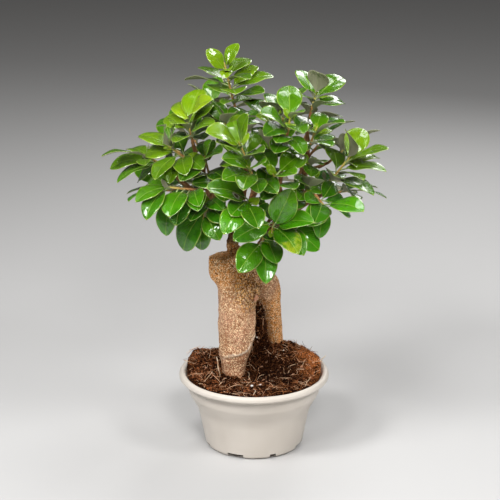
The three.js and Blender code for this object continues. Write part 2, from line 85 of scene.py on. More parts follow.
class Wire:
    """A socket of a node tree. Sums and products of wires add their Math nodes."""

    def __init__(self, tree, socket=None):
        self.tree = tree
        self.socket = socket

    def node(self, kind, settings=None, inputs=None, output=0):
        made = self.tree.nodes.new(kind)
        for name, value in (settings or {}).items():
            if name == "stops":
                stops = made.color_ramp.elements
                stops.remove(stops[1])
                stops[0].position, stops[0].color = value[0][0], (*value[0][1], 1)
                for place, colour in value[1:]:
                    stops.new(place).color = (*colour, 1)
            else:
                setattr(made, name, value)
        for name, value in (inputs or {}).items():
            entry = made.inputs[name]
            if isinstance(value, Wire):
                self.tree.links.new(value.socket, entry)
            else:
                entry.default_value = value
        return Wire(self.tree, made.outputs[output] if made.outputs else None)

    def maths(self, operation, *terms):
        return self.node("ShaderNodeMath", {"operation": operation}, dict(enumerate(terms)))

    def __add__(self, other):
        return self.maths("ADD", self, other)

    __radd__ = __add__

    def __sub__(self, other):
        return self.maths("SUBTRACT", self, other)

    def __rsub__(self, other):
        return self.maths("SUBTRACT", other, self)

    def __mul__(self, other):
        return self.maths("MULTIPLY", self, other)

    __rmul__ = __mul__

    def __truediv__(self, other):
        return self.maths("DIVIDE", self, other)

    def __pow__(self, other):
        return self.maths("POWER", self, other)

    def __abs__(self):
        return self.maths("ABSOLUTE", self)

    def fade(self, start, end):
        """0 where this value is at start, 1 where it is at end, smooth between them."""
        settings = {"interpolation_type": "SMOOTHSTEP"}
        return self.node("ShaderNodeMapRange", settings, {0: self, 1: start, 2: end})

    def mix(self, first, second):
        """The first colour where this value is 0, the second where it is 1."""
        first, second = ((*c, 1) if isinstance(c, tuple) else c for c in (first, second))
        return self.node("ShaderNodeMix", {"data_type": "RGBA"}, {0: self, 6: first, 7: second}, 2)

    def parts(self, unit=None):
        """The three parts of a vector, in a unit where one is given."""
        split = self.node("ShaderNodeSeparateXYZ", {}, {0: self}).socket.node
        wires = [Wire(self.tree, socket) for socket in split.outputs]
        return [wire / unit for wire in wires] if unit else wires

    def stretched(self, scale):
        return self.node("ShaderNodeMapping", {}, {"Vector": self, "Scale": scale})

    def attribute(self, name, output="Fac"):
        return self.node("ShaderNodeAttribute", {"attribute_name": name}, output=output)

    def noise(self, scale, detail=3.0, roughness=0.5):
        """A cloudy value from 0 to 1 in this place, with scale features to a metre."""
        inputs = {"Vector": self, "Scale": scale, "Detail": detail, "Roughness": roughness}
        return self.node("ShaderNodeTexNoise", {}, inputs)

    def cells(self, scale, feature="F1"):
        return self.node("ShaderNodeTexVoronoi", {"feature": feature}, {"Vector": self, "Scale": scale})

    def painted(self, *layers):
        """This colour with layers over it, from (share, colour)."""
        colour = self
        for share, paint in layers:
            colour = share.mix(colour, paint)
        return colour


def finish_of(name):
    """For a new material: its first wire, the place on the object, and a call that closes and gives it."""
    material = bpy.data.materials.new(name)
    material.use_nodes = True
    tree = material.node_tree
    tree.nodes.clear()
    start = Wire(tree)
    place = start.node("ShaderNodeTexCoord", output="Object")

    def close(height=None, relief=0.001, strength=1.0, **sockets):
        inputs = {name.replace("_", " "): value for name, value in sockets.items()}
        if height is not None:
            bump = {"Height": height, "Distance": relief, "Strength": strength}
            inputs["Normal"] = start.node("ShaderNodeBump", {}, bump)
        surface = start.node("ShaderNodeBsdfPrincipled", {}, inputs)
        start.node("ShaderNodeOutputMaterial", {}, {"Surface": surface})
        return material

    return start, place, close


def placed(name, data):
    """A new object in the scene that holds this mesh, lamp or camera."""
    made = bpy.data.objects.new(name, data)
    bpy.context.scene.collection.objects.link(made)
    return made


def piece_of(name, points, faces):
    """A smooth mesh piece."""
    mesh = bpy.data.meshes.new(name)
    mesh.from_pydata([tuple(p) for p in points], [], [tuple(f) for f in faces])
    mesh.validate()
    mesh.shade_smooth()
    return placed(name, mesh)


def laid(name, bits):
    """One piece of small forms, each with a matrix that sets it in its place."""
    points, faces = [], []
    for (form_points, form_faces), matrix in bits:
        faces += [[len(points) + k for k in face] for face in form_faces]
        points += [matrix @ Vector(p) for p in form_points]
    return piece_of(name, points, faces)


def tube_faces(first, sides, levels):
    """The faces of a closed tube of rings of points, from its first point up, and then its two caps."""
    faces = []
    for low in range(first, first + levels * sides, sides):
        for k in range(sides):
            after = (k + 1) % sides
            faces.append((low + k, low + after, low + sides + after, low + sides + k))
    top = first + levels * sides
    return [*faces, tuple(reversed(range(first, first + sides))), tuple(range(top, top + sides))]


def turned(profile, sides):
    """Points and faces of a closed turned form whose profile starts and ends on the Z axis."""
    angles = [2 * math.pi * k / sides for k in range(sides)]
    rings = profile[1:-1]
    points = [(r * math.cos(a), r * math.sin(a), z) for r, z in rings for a in angles]
    points += [(0, 0, profile[0][1]), (0, 0, profile[-1][1])]
    faces = tube_faces(0, sides, len(rings) - 1)[:-2]
    last = (len(rings) - 1) * sides
    for k in range(sides):
        faces.append((len(points) - 2, (k + 1) % sides, k))
        faces.append((len(points) - 1, last + k, last + (k + 1) % sides))
    return points, faces


def rounded(corners):
    """A profile with an arc at each corner, from (radius, height, radius of the arc)."""
    steps, profile = 5, [corners[0][:2]]
    for before, here, after in zip(corners, corners[1:], corners[2:]):
        middle = Vector(here[:2])
        inward, outward = Vector(before[:2]) - middle, Vector(after[:2]) - middle
        reach = min(here[2], 0.45 * inward.length, 0.45 * outward.length)
        start = middle + inward.normalized() * reach
        end = middle + outward.normalized() * reach
        for k in range(steps + 1):
            t = k / steps
            profile.append(tuple(start * (1 - t) ** 2 + middle * 2 * t * (1 - t) + end * t * t))
    profile.append(corners[-1][:2])
    return profile


def apply_all(piece):
    """The piece with its modifiers turned into its mesh."""
    graph = bpy.context.evaluated_depsgraph_get()
    shape = bpy.data.meshes.new_from_object(
        piece.evaluated_get(graph), preserve_all_data_layers=True, depsgraph=graph
    )
    piece.modifiers.clear()
    piece.data = shape
    return piece


# From the foot up the outside to the lip, then down the inside to the floor.
pot_corners = [
    (0, 0, 0),
    (FOOT_RADIUS, 0, 1 * MM),
    (HEEL_RADIUS, 2.2 * MM, 2 * MM),
    (CONE_RADIUS, 36 * MM, 8 * MM),
    (SHOULDER_RADIUS, 43 * MM, 5 * MM),
    (COLLAR_RADIUS, 56 * MM, 2.4 * MM),
    (67.3 * MM, POT_HEIGHT - LIP_HEIGHT - 1.4 * MM, 1 * MM),
    (68.2 * MM, POT_HEIGHT - LIP_HEIGHT + 0.2 * MM, 0.8 * MM),
    (73.4 * MM, POT_HEIGHT - LIP_HEIGHT, 1 * MM),
    (RIM_RADIUS, POT_HEIGHT - LIP_HEIGHT + 1.8 * MM, 1.4 * MM),
    (RIM_RADIUS - 0.5 * MM, POT_HEIGHT - 1.8 * MM, 1.6 * MM),
    (72.2 * MM, POT_HEIGHT, 1.8 * MM),
    (68.8 * MM, POT_HEIGHT - 1.4 * MM, 1.6 * MM),
    (66.2 * MM, POT_HEIGHT - LIP_HEIGHT, 3 * MM),
    (COLLAR_RADIUS - POT_WALL, 57 * MM, 3 * MM),
    (SHOULDER_RADIUS - POT_WALL, 44 * MM, 5 * MM),
    (CONE_RADIUS - POT_WALL, 37 * MM, 8 * MM),
    (HEEL_RADIUS - POT_WALL, POT_FLOOR, 1 * MM),
    (0, POT_FLOOR, 0),
]
pot = piece_of("pot_body", *turned(rounded(pot_corners), POT_SIDES))
box_faces = [(0, 1, 3, 2), (4, 6, 7, 5), (0, 4, 5, 1), (2, 3, 7, 6), (0, 2, 6, 4), (1, 5, 7, 3)]
boxes = []
for quarter in range(4):
    for offset, width in DRAIN_WIDTHS.items():
        turn = Matrix.Rotation(math.radians(-90 + offset + 90 * quarter), 4, "Z")
        sizes = DRAIN_OUT, (-width / 2, width / 2), DRAIN_UP
        boxes.append(((list(itertools.product(*sizes)), box_faces), turn))
slots = laid("drain_slots", boxes)
cut = pot.modifiers.new("drain", "BOOLEAN")
cut.operation, cut.solver, cut.object = "DIFFERENCE", "EXACT", slots
apply_all(pot)
bpy.data.objects.remove(slots)
pot.data.set_sharp_from_angle(angle=SHARP_EDGE)

start, place, close = finish_of("cream_plastic")
x, y, z = place.parts(MM)
radius = start.maths("SQRT", x * x + y * y)
cloud = place.noise(18, 2)
scuff = place.stretched((60, 60, 240)).noise(8, 4, 0.65)
foot = z.fade(16, 1)
rim_inside = radius.fade(70.5, 67.5) * z.fade(66, 71)
dirt = rim_inside * place.noise(160, 4, 0.7).fade(0.42, 0.62) * 0.75
scuffed = scuff.fade(0.62, 0.8) * (foot * 0.5 + 0.08)
colour = cloud.fade(0.3, 0.75).mix(CREAM, CREAM_SHADE)
colour = colour.painted((scuffed, (0.5, 0.43, 0.35)), (dirt, SOIL_STAIN))
gloss = 0.36 + 0.16 * scuff + 0.35 * dirt
grain = place.noise(1400, 2) * 0.6 + scuff * 0.6
cream_plastic = close(grain, 0.00025, 0.35, Base_Color=colour, Roughness=gloss)
pot.data.materials.clear()
pot.data.materials.append(cream_plastic)
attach(pot, "root")
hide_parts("pot")

# The soil is a peat and coir mix, pressed round the roots and mounded over the rim behind them.
# Crumbs, coir fibres, straw and grains of perlite lie loose on it.
SOIL_LEVEL = 74.2
SOIL_EDGE = 67.0
LEG_FOOT = (-20.5, -8.0)
PEAT_DARK = (0.006, 0.002, 0.001)
PEAT_BROWN = (0.24, 0.078, 0.03)
COIR_ORANGE = (0.66, 0.22, 0.06)
# The old soil between the legs: the height, middle and half widths of each level.
SOIL_CORE = [
    (66, 9, 18, 17, 15),
    (88, 8.5, 18, 13.5, 13),
    (102, 6, 17, 9, 10),
    (116, 3.8, 16, 8, 8),
    (130, 2.8, 14.5, 8.4, 6.5),
    (143, 0, 13, 6.4, 6),
]
CRUMB_DENSITY = 250000.0
CHIP_DENSITY = 45000.0
FIBRE_DENSITY = 100000.0
STRAW_DENSITY = 800.0
SOWN_RADIUS = 63.5 * MM
SOWN_HEIGHT = 71 * MM
FULL_TURN = 6.283
# Each grain: its place on the soil, how far it lies above it, and its width.
PERLITE_AT = [(-2, -40, 0, 2.4), (6, -36, 0, 1.7), (3, 5.5, 27, 1.8), (30, 20, 0, 1.2)]
PERLITE_AT += [(-30, 48, 0, 1.8), (34, 46, 0, 2.0)]
# Each straw: its foot, its tip and its thickness.
LONG_STRAWS = [
    ((-35, -20, 77), (-36, -17, 97), 0.75),
    ((-71, 6, 84), (-58, 2, 82), 0.45),
    ((66, 0, 85), (72, 4, 90), 0.4),
    ((49.5, -42, 76.5), (54, -31, 80.5), 0.5),
    ((45, -36, 76), (51.5, -37, 79), 0.35),
    ((-1.5, -63, 75.5), (1, -57, 79), 0.4),
    ((-50, -30, 76), (-42, -18, 81), 0.35),
]


def soil_height(x, y):
    """Height of the soil in millimetres, over a place in millimetres."""
    back = 19 * math.exp(-(((x - 20) / 42) ** 2) - ((y - 34) / 30) ** 2)
    left = 13 * math.exp(-(((x + 58) / 34) ** 2) - ((y - 20) / 27) ** 2)
    right = 9 * math.exp(-(((x - 70) / 20) ** 2) - ((y - 8) / 22) ** 2)
    crumbs = 0.7 * math.sin(x / 3.7 + 1.3 * math.sin(y / 5)) * math.cos(y / 4.1 + x / 9)
    return SOIL_LEVEL + back + left + right + crumbs


# The profile runs up inside the pot's wall and in over the top, which the height of 200 marks.
rings, sides = 74, 220
soil_profile = [(0, 2.4), (46.8, 2.4), (53.3, 37), (55.9, 44), (63.2, 57), (65.6, 69)]
soil_profile += [(SOIL_EDGE * (1 - k / rings), 200) for k in range(rings)] + [(0, 200)]
points, faces = turned(soil_profile, sides)
soil_points = []
for u, v, h in points:
    if h > 100:
        r = math.hypot(u, v)
        lumps = 1.9 * noise.noise((u / 6, v / 6, 3)) + 1.2 * noise.noise((u / 2.6, v / 2.6, 9))
        lumps += 0.7 * abs(noise.noise((u / 1.3, v / 1.3, 5)))
        leg_gap = math.hypot(*(Vector((u, v)) - Vector(LEG_FOOT)))
        heap = math.exp(-(((leg_gap - 11.5) / 3.5) ** 2))
        lumps += 2.6 * max(0, 0.4 + noise.noise((u / 4, v / 4, 1))) * heap
        edge = 1.2 * max(0, (r - 63) / 4) ** 2
        h = soil_height(u, v) + lumps - edge - 0.4
    soil_points.append((u, v, h))
core_heights, *core_shape = zip(*SOIL_CORE)
levels, core_sides, first = 56, 72, len(soil_points)
for k in range(levels + 1):
    h = core_heights[0] + (core_heights[-1] - core_heights[0]) * k / levels
    cx, cy, rx, ry = (np.interp(h, core_heights, values) for values in core_shape)
    for j in range(core_sides):
        turn = 2 * math.pi * j / core_sides
        u, v = cx + rx * math.cos(turn), cy + ry * math.sin(turn)
        push = 1.5 * noise.noise((u / 5, v / 5, h / 5)) + 0.9 * noise.noise((u / 2, v / 2, h / 2))
        u, v = u + push * math.cos(turn), v + push * math.sin(turn)
        soil_points.append((u, v, h))
faces += tube_faces(first, core_sides, levels)
soil_points = [(u * MM, v * MM, h * MM) for u, v, h in soil_points]
soil = piece_of("soil_mound", soil_points, faces)


def graph_of(name, **values):
    """A Geometry Nodes tree: its start, the wires of its named inputs, a call that runs it on a piece."""
    tree = bpy.data.node_groups.new(name, "GeometryNodeTree")
    tree.interface.new_socket("Geometry", in_out="OUTPUT", socket_type="NodeSocketGeometry")
    tree.interface.new_socket("Geometry", in_out="INPUT", socket_type="NodeSocketGeometry")
    sockets = {}
    for label, value in values.items():
        kind = "NodeSocket" + ("Float" if isinstance(value, float) else type(value).__name__)
        sockets[label] = tree.interface.new_socket(label, in_out="INPUT", socket_type=kind).identifier
    entry = tree.nodes.new("NodeGroupInput")
    wires = [Wire(tree, socket) for socket in entry.outputs if socket.name]

    def grow(piece):
        modifier = piece.modifiers.new("grow", "NODES")
        modifier.node_group = tree
        for label, value in values.items():
            modifier[sockets[label]] = value
        return apply_all(piece)

    return Wire(tree), wires, grow


def joined(start, material, *wires):
    """Join Geometry of several wires, all in one material unless it is None."""
    node = start.tree.nodes.new("GeometryNodeJoinGeometry")
    for wire in reversed(wires):
        start.tree.links.new(wire.socket, node.inputs[0])
    whole = Wire(start.tree, node.outputs[0])
    if material is None:
        return whole
    return start.node("GeometryNodeSetMaterial", {}, {"Geometry": whole, "Material": material})


def forms_of(name, makers):
    """A hidden collection of small forms that a tree sets out."""
    shelf = bpy.data.collections.new(name)
    for k, (points, faces) in enumerate(makers):
        form = piece_of(f"{name}_{k}", points, faces)
        bpy.context.scene.collection.objects.unlink(form)
        shelf.objects.link(form)
    return shelf


def clear_forms(*shelves):
    for shelf in shelves:
        for form in list(shelf.objects):
            bpy.data.objects.remove(form)
        bpy.data.collections.remove(shelf)


def pebble(seed, detail, rough, flat):
    """A crumb about one unit wide: a ball, of eight faces at detail 0, pushed in and out by noise."""
    ball = bmesh.new()
    if detail:
        bmesh.ops.create_icosphere(ball, subdivisions=detail, radius=0.5)
    else:
        bmesh.ops.create_uvsphere(ball, u_segments=4, v_segments=2, radius=0.55)
    points = []
    for corner in ball.verts:
        push = 1 + rough * noise.noise(corner.co * 3.1 + Vector((seed * 7.3, 0, 0)))
        points.append((corner.co.x * push * 1.15, corner.co.y * push, corner.co.z * push * flat))
    faces = [[v.index for v in face.verts] for face in ball.faces]
    ball.free()
    return points, faces


def strand(seed, length, thick, bend):
    """A loose fibre: a thin four-sided tube that wanders along X."""
    steps, points = 9, []
    for k in range(steps + 1):
        t = k / steps
        sway = bend * noise.noise((t * 1.6, seed * 3.7, 0.5))
        rise = bend * 0.3 * noise.noise((t * 1.8, seed * 5.1, 8.5)) + 0.08 * length * t * (1 - t)
        radius = thick * (0.35 + 0.65 * math.sin(math.pi * (0.12 + 0.8 * t)))
        for a in range(4):
            turn = math.pi * (a / 2 + 0.25)
            across, up = radius * math.cos(turn), radius * math.sin(turn)
            points.append((length * (t - 0.5), sway + across, rise + up))
    return points, [tuple(reversed(f)) for f in tube_faces(0, 4, steps)]


def drawn(start, least, most, seed):
    """A random number between two, drawn for each point or copy."""
    inputs = {2: least, 3: most, "Seed": seed}
    return start.node("FunctionNodeRandomValue", {"data_type": "FLOAT"}, inputs, 1)


def strewn(start, ground, where, density, seed):
    """Points strewn at random over a part of the ground, and how the ground is turned at each."""
    inputs = {"Mesh": ground, "Selection": where, "Density": density, "Seed": seed}
    points = start.node("GeometryNodeDistributePointsOnFaces", {}, inputs)
    return points, Wire(start.tree, points.socket.node.outputs["Rotation"])


def set_out(start, points, forms, turn, size, more=(), tone=None):
    """A form of a collection on each point, made real, with its tone kept for the material."""
    inputs = {"Collection": forms, "Separate Children": True, "Reset Children": True}
    shelf = start.node("GeometryNodeCollectionInfo", {}, inputs)
    inputs = {"Points": points, "Instance": shelf, "Pick Instance": True, "Rotation": turn, "Scale": size}
    copies = start.node("GeometryNodeInstanceOnPoints", {}, inputs | dict(more))
    if tone:
        settings = {"data_type": "FLOAT", "domain": "INSTANCE"}
        inputs = {"Geometry": copies, "Name": "tone", "Value": tone}
        copies = start.node("GeometryNodeStoreNamedAttribute", settings, inputs)
    return start.node("GeometryNodeRealizeInstances", {}, {0: copies})


def sown(start, ground, seed, density, forms, least, most, tilt, tones=(0.0, 1.0)):
    """Forms set out at random on the ground, clear of the pot's wall but further out above its rim."""
    x, y, z = start.node("GeometryNodeInputPosition").parts()
    over_rim = z.maths("GREATER_THAN", z, POT_HEIGHT + 1.5 * MM) * (3 * MM)
    inside = start.maths("SQRT", x * x + y * y) - over_rim
    clear = inside.maths("LESS_THAN", inside, SOWN_RADIUS) * z.maths("GREATER_THAN", z, SOWN_HEIGHT)
    points, turn = strewn(start, ground, clear, density, seed)
    lean = {"Min": (-tilt, -tilt, 0), "Max": (tilt, tilt, FULL_TURN), "Seed": seed + 1}
    spin = start.node("FunctionNodeRandomValue", {"data_type": "FLOAT_VECTOR"}, lean)
    turn = start.node("FunctionNodeRotateRotation", {"rotation_space": "LOCAL"}, {0: turn, 1: spin})
    size = drawn(start, least, most, seed + 2)
    return set_out(start, points, forms, turn, size, tone=drawn(start, *tones, seed + 3))


crumb_forms = forms_of("crumb", [pebble(k, k % 2, 0.9, 0.8) for k in range(7)])
chip_forms = forms_of("chip", [pebble(k + 9, 2, 0.8, 0.6) for k in range(5)])
fibre_forms = forms_of("fibre", [strand(k, 7 + 1.8 * k, 0.18, 3 + 0.6 * k) for k in range(7)])
straw_forms = forms_of("straw", [strand(k + 20, 8 + 3 * k, 0.33, 2.5) for k in range(4)])


def in_hollow(place):
    """1 in the hollow of soil in front of the rear leg, which is painted darker there as shade, 0 well
    outside it.
    """
    x, y, _ = place.parts(MM)
    return (((x - 18) / 30) ** 2.0 + ((y + 12) / 26) ** 2.0).fade(1.3, 0.2)


start, place, close = finish_of("peat_and_coir")
x, y, _ = place.parts(MM)
tone = start.attribute("tone")
patch = place.noise(42, 4, 0.6)
fine = place.noise(700, 4, 0.7)
grit = place.cells(900)
warm = abs(x).fade(30, 62) * 0.28
# The peat in the hollow in front of the rear leg is painted darker as shade.
brown = (patch * 0.9 + warm + 0.65 * tone - 0.3 * in_hollow(place)).fade(0.66, 1.08)
orange_patch = x.fade(36, 56) * y.fade(-28, -2) * patch.fade(0.36, 0.56)
streaks = fine.fade(0.5, 0.7) * (0.16 + brown * 0.5) + orange_patch * fine.fade(0.38, 0.6) * 0.85
colour = brown.mix(PEAT_DARK, PEAT_BROWN).painted(
    (start.maths("MINIMUM", streaks, 0.9), COIR_ORANGE),
    (tone.fade(0.9, 0.96) * 0.85, (0.55, 0.3, 0.18)),
)
height = fine * 0.8 + grit * 0.6
peat = close(height, 0.0016, 1.0, Base_Color=colour, Roughness=0.82 + 0.16 * fine, Specular_IOR_Level=0.03)

start, place, close = finish_of("coir_fibre")
tone = start.attribute("tone")
stain = place.noise(300, 3)
dark, brown = (0.012, 0.004, 0.001), (0.12, 0.038, 0.013)
ramp = [(0.0, dark), (0.5, brown), (0.85, (0.5, 0.2, 0.075)), (1.0, (0.9, 0.62, 0.4))]
# The fibres in that hollow are painted darker as shade too.
shade = tone * 0.9 - 0.3 * in_hollow(place) * tone.fade(0.95, 0.75) + stain * 0.3
colour = start.node("ShaderNodeValToRGB", {"stops": ramp}, {0: shade})
coir = close(stain, 0.0002, 0.5, Base_Color=colour, Roughness=0.6 + 0.25 * stain, Specular_IOR_Level=0.05)

start, (ground, crumb_density, crumbs, chip_density, chips, peat_in), grow = graph_of(
    "peat_mound",
    crumb_density=CRUMB_DENSITY,
    crumbs=crumb_forms,
    chip_density=CHIP_DENSITY,
    chips=chip_forms,
    peat=peat,
)
small = sown(start, ground, 11, crumb_density, crumbs, 0.5 * MM, 1.6 * MM, tilt=1.5)
large = sown(start, ground, 23, chip_density, chips, 1.2 * MM, 3.2 * MM, tilt=0.9)
start.node("NodeGroupOutput", {}, {0: joined(start, peat_in, ground, small, large)})
grow(soil)
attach(soil, "root")
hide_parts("soil")

bed = piece_of("coir_fibres", soil_points, faces)
start, (ground, density, fibres, straw_density, straws, coir_in), grow = graph_of(
    "coir_fibres",
    fibre_density=FIBRE_DENSITY,
    fibres=fibre_forms,
    straw_density=STRAW_DENSITY,
    straws=straw_forms,
    coir=coir,
)
fine_coir = sown(start, ground, 41, density, fibres, 0.5 * MM, 1.2 * MM, tilt=0.2)
straw = sown(start, ground, 53, straw_density, straws, 0.5 * MM, 1.1 * MM, tilt=0.12, tones=(0.75, 1.2))
start.node("NodeGroupOutput", {}, {0: joined(start, coir_in, fine_coir, straw)})
grow(bed)
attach(bed, "root")
clear_forms(crumb_forms, chip_forms, fibre_forms, straw_forms)

grains = []
for k, (u, v, lift, wide) in enumerate(PERLITE_AT):
    here = Vector((u, v, soil_height(u, v) + lift + 0.7)) * MM
    grains.append((pebble(k + 60, 2, 0.5, 0.8), Matrix.Translation(here) @ Matrix.Scale(wide * MM, 4)))
perlite = laid("perlite_grains", grains)
_, place, close = finish_of("white_perlite")
dust = place.noise(900, 3)
white = dust.fade(0.35, 0.65).mix((0.62, 0.6, 0.56), (0.9, 0.89, 0.86))
perlite.data.materials.append(close(dust, 0.0003, 0.8, Base_Color=white, Roughness=0.75 + 0.2 * dust))
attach(perlite, "root")

stalks = []
for k, (foot, tip, thick) in enumerate(LONG_STRAWS):
    foot, tip = Vector(foot) * MM, Vector(tip) * MM
    turn = (tip - foot).to_track_quat("X", "Z").to_matrix().to_4x4()
    where = Matrix.Translation((foot + tip) / 2) @ turn @ Matrix.Scale(MM, 4)
    stalks.append((strand(k + 80, (tip - foot).length / MM, thick, 2.2), where))
straws = laid("long_straws", stalks)
_, place, close = finish_of("pale_straw")
stain = place.noise(240, 3)
straw = stain.fade(0.35, 0.65).mix((0.42, 0.25, 0.13), (0.72, 0.56, 0.4))
straws.data.materials.append(close(stain, 0.0002, 0.6, Base_Color=straw, Roughness=0.55 + 0.2 * stain))
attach(straws, "root")

# The trunk is one grown body: two swollen roots that meet in a cut head, with grafted limbs and twigs.
# Its bark is thin, tan and covered with small pale pores, and rough and dark where the roots join.
BARK_GRAIN = 0.92 * MM
BARK_SWELL = 0.22 * MM
PORE_DENSITY = 120000.0
PORE_TOP = 206 * MM
PORE_SEED = 5
BARK_TAN = (0.465, 0.222, 0.11)
BARK_PINK = (0.58, 0.305, 0.19)
BARK_DARK = (0.14, 0.045, 0.008)
BARK_PALE = (1.0, 0.74, 0.46)
BARK_GOLD = (0.76, 0.3, 0.055)
TWIG_BROWN = (0.17, 0.075, 0.028)
# A pale crease runs round the front leg, and turns up steeply past CREASE_RISE.
CREASE_MIDDLE = (-18.8, 99.3)
CREASE_SLOPE = 0.32
CREASE_RISE = (-6.0, 1.6)
JOIN_MIDDLE = (-4.0, -15.0, 167.0)
NECK_HEIGHT = 207
HEAD_DIP = 2.5
STUB_MIDDLE = (3.0, -16.0, 155.0)

trunk = placed("trunk_bark", frame["nodes"]["trunk"].data.copy())
shell = bmesh.new()
shell.from_mesh(trunk.data)
bmesh.ops.remove_doubles(shell, verts=shell.verts, dist=1e-6)
shell.to_mesh(trunk.data)
shell.free()
skin = trunk.modifiers.new("skin", "REMESH")
skin.mode, skin.voxel_size = "VOXEL", BARK_GRAIN
apply_all(trunk)


def relaxed(points, edges, rounds, share):
    """Points drawn towards the middle of their neighbours, each by its own share."""
    for _ in range(rounds):
        pull = np.zeros_like(points)
        count = np.bincount(edges.ravel(), minlength=len(points))[:, None]
        for axis in range(3):
            pull[:, axis] += np.bincount(edges[:, 0], points[edges[:, 1], axis], len(points))
            pull[:, axis] += np.bincount(edges[:, 1], points[edges[:, 0], axis], len(points))
        points = points + share[:, None] * (pull / count - points)
    return points


def read_points(mesh, kind="vertices", field="co", width=3, dtype=np.float64):
    found = np.zeros(len(getattr(mesh, kind)) * width, dtype)
    getattr(mesh, kind).foreach_get(field, found)
    return found.reshape(-1, width)


def write_points(mesh, points):
    mesh.vertices.foreach_set("co", points.ravel())
    mesh.update()


def bark_relief(x, y, z, thick):
    """How far the bark stands out, in millimetres, at a place in millimetres."""
    here = Vector((x, y, z))
    relief = 1.5 * noise.noise(here / 19) + 0.6 * noise.noise(here / 7 + Vector((5, 1, 2)))
    relief += 0.22 * noise.noise(Vector((x / 2.6, y / 2.6, z / 4.5)))
    rough = math.exp(-((here - Vector(JOIN_MIDDLE)).length_squared / 15**2))
    rough += 0.8 * math.exp(-((z - 209) ** 2) / 8**2)
    relief += rough * (1.9 * noise.noise(here / 3.6) + 1.2 * noise.noise(here / 1.9))
    stub = here - Vector(STUB_MIDDLE)
    relief += 1.8 * math.exp(-((stub.x**2 + stub.y**2 + stub.z**2 / 4) / 7))
    if x < 4 and z < 130:
        height = z - CREASE_MIDDLE[1] - CREASE_SLOPE * (x - CREASE_MIDDLE[0])
        height -= CREASE_RISE[1] * max(0, x - CREASE_RISE[0])
        height += 1.6 * noise.noise((x / 6, y / 6, 2))
        relief += 0.3 * math.exp(-((height - 0.6) / 1.7) ** 2) - 0.5 * math.exp(-((height + 3) / 2.6) ** 2)
        relief += 0.5 * noise.noise((x / 9, y / 9, z / 2.2)) * math.exp(-((height - 2) / 16) ** 2)
    neck = math.exp(-(((z - 212) / 14) ** 2))
    return relief * thick + neck * (0.9 * noise.noise(here / 3) + 0.7 * noise.noise(here / 1.6))


points = read_points(trunk.data) / MM
edges = read_points(trunk.data, "edges", "vertices", 2, np.int32)
# Thick is 1 on the roots and the head, and falls to 0 at the neck, from which the limbs rise.
thick = 1 / (1 + np.exp((points[:, 2] - NECK_HEIGHT) / 2.5))
points = relaxed(points, edges, 5, np.full(len(points), 0.5))
smooth_skin = 0.12 + 0.88 / (1 + np.exp((points[:, 2] - 168) / 4))
points = relaxed(points, edges, 26, 0.5 * thick * smooth_skin)
# The top of the head dips between its left end and the neck.
slope = 0.25 + 0.75 * np.clip((points[:, 0] + 45) / 15, 0, 1)
slope *= np.clip((points[:, 2] - 183) / 15, 0, 1) * np.clip((-22 - points[:, 0]) / 5, 0, 1)
points[:, 2] -= HEAD_DIP * slope
write_points(trunk.data, points * MM)
normals = read_points(trunk.data, "vertex_normals", "vector")
push = [bark_relief(*p, max(t, 0.12)) for p, t in zip(points, thick)]
points += normals * (np.array(push) + 0.35 * (1 - thick) + BARK_SWELL / MM)[:, None]
write_points(trunk.data, points * MM)
trunk.data.shade_smooth()


def gap_to(place, middle, upright):
    """How far a place is from a middle in millimetres, with a share of the height counted."""
    dx, dy, dz = (part - at for part, at in zip(place.parts(MM), middle))
    return place.maths("SQRT", dx * dx + dy * dy + dz * dz * upright)


start, place, close = finish_of("ficus_bark")
x, y, z = place.parts(MM)
tone = start.attribute("tone")
cloud = place.noise(45, 3)
squat = place.stretched((1, 1, 0.7))
streak = place.stretched((1, 1, 0.35)).noise(420, 4, 0.65)
pore_size = place.noise(150, 2)
fine_pores = place.stretched((1, 1, 0.8)).cells(860) - 0.25 * pore_size
large_pores = squat.cells(480) - 0.2 * pore_size
pores = start.maths("MAXIMUM", fine_pores.fade(0.3, 0.14), large_pores.fade(0.24, 0.12))
clump = place.noise(85, 3, 0.6).fade(0.38, 0.62)
pits = squat.noise(560, 3, 0.7).fade(0.5, 0.38)
front_head = z.fade(158, 180) * x.fade(2, -8)
golden = start.maths("MAXIMUM", front_head, y.fade(4, 14))
low = z.fade(213, 206)
rough = gap_to(place, JOIN_MIDDLE, 0.6).fade(26, 9)
rough = start.maths("MAXIMUM", rough, z.fade(202, 212) * 0.8) * streak.fade(0.28, 0.55)
line = z - CREASE_MIDDLE[1] - CREASE_SLOPE * (x - CREASE_MIDDLE[0])
line = line + 16.0 * (place.noise(120, 5, 0.75) - 0.5)
line = line - CREASE_RISE[1] * start.maths("MAXIMUM", x - CREASE_RISE[0], 0.0)
crease = abs(line - 0.4).fade(2.4, 0.5) * x.fade(5, 2)
crease = crease * place.noise(260, 3, 0.6).fade(0.32, 0.52) * x.fade(-42, -20)
under = line.fade(0.0, -5) * x.fade(5, 2)
mottle = squat.noise(250, 3, 0.6)
head = z.fade(172, 186)
blotches, specks = place.noise(380, 4, 0.7), place.noise(450, 3, 0.7)
cracks = squat.cells(260, "DISTANCE_TO_EDGE").fade(0.15, 0.02)
flecks = place.noise(400, 3).fade(0.5, 0.56)
stub = gap_to(place, STUB_MIDDLE, 0.25).fade(4, 2)
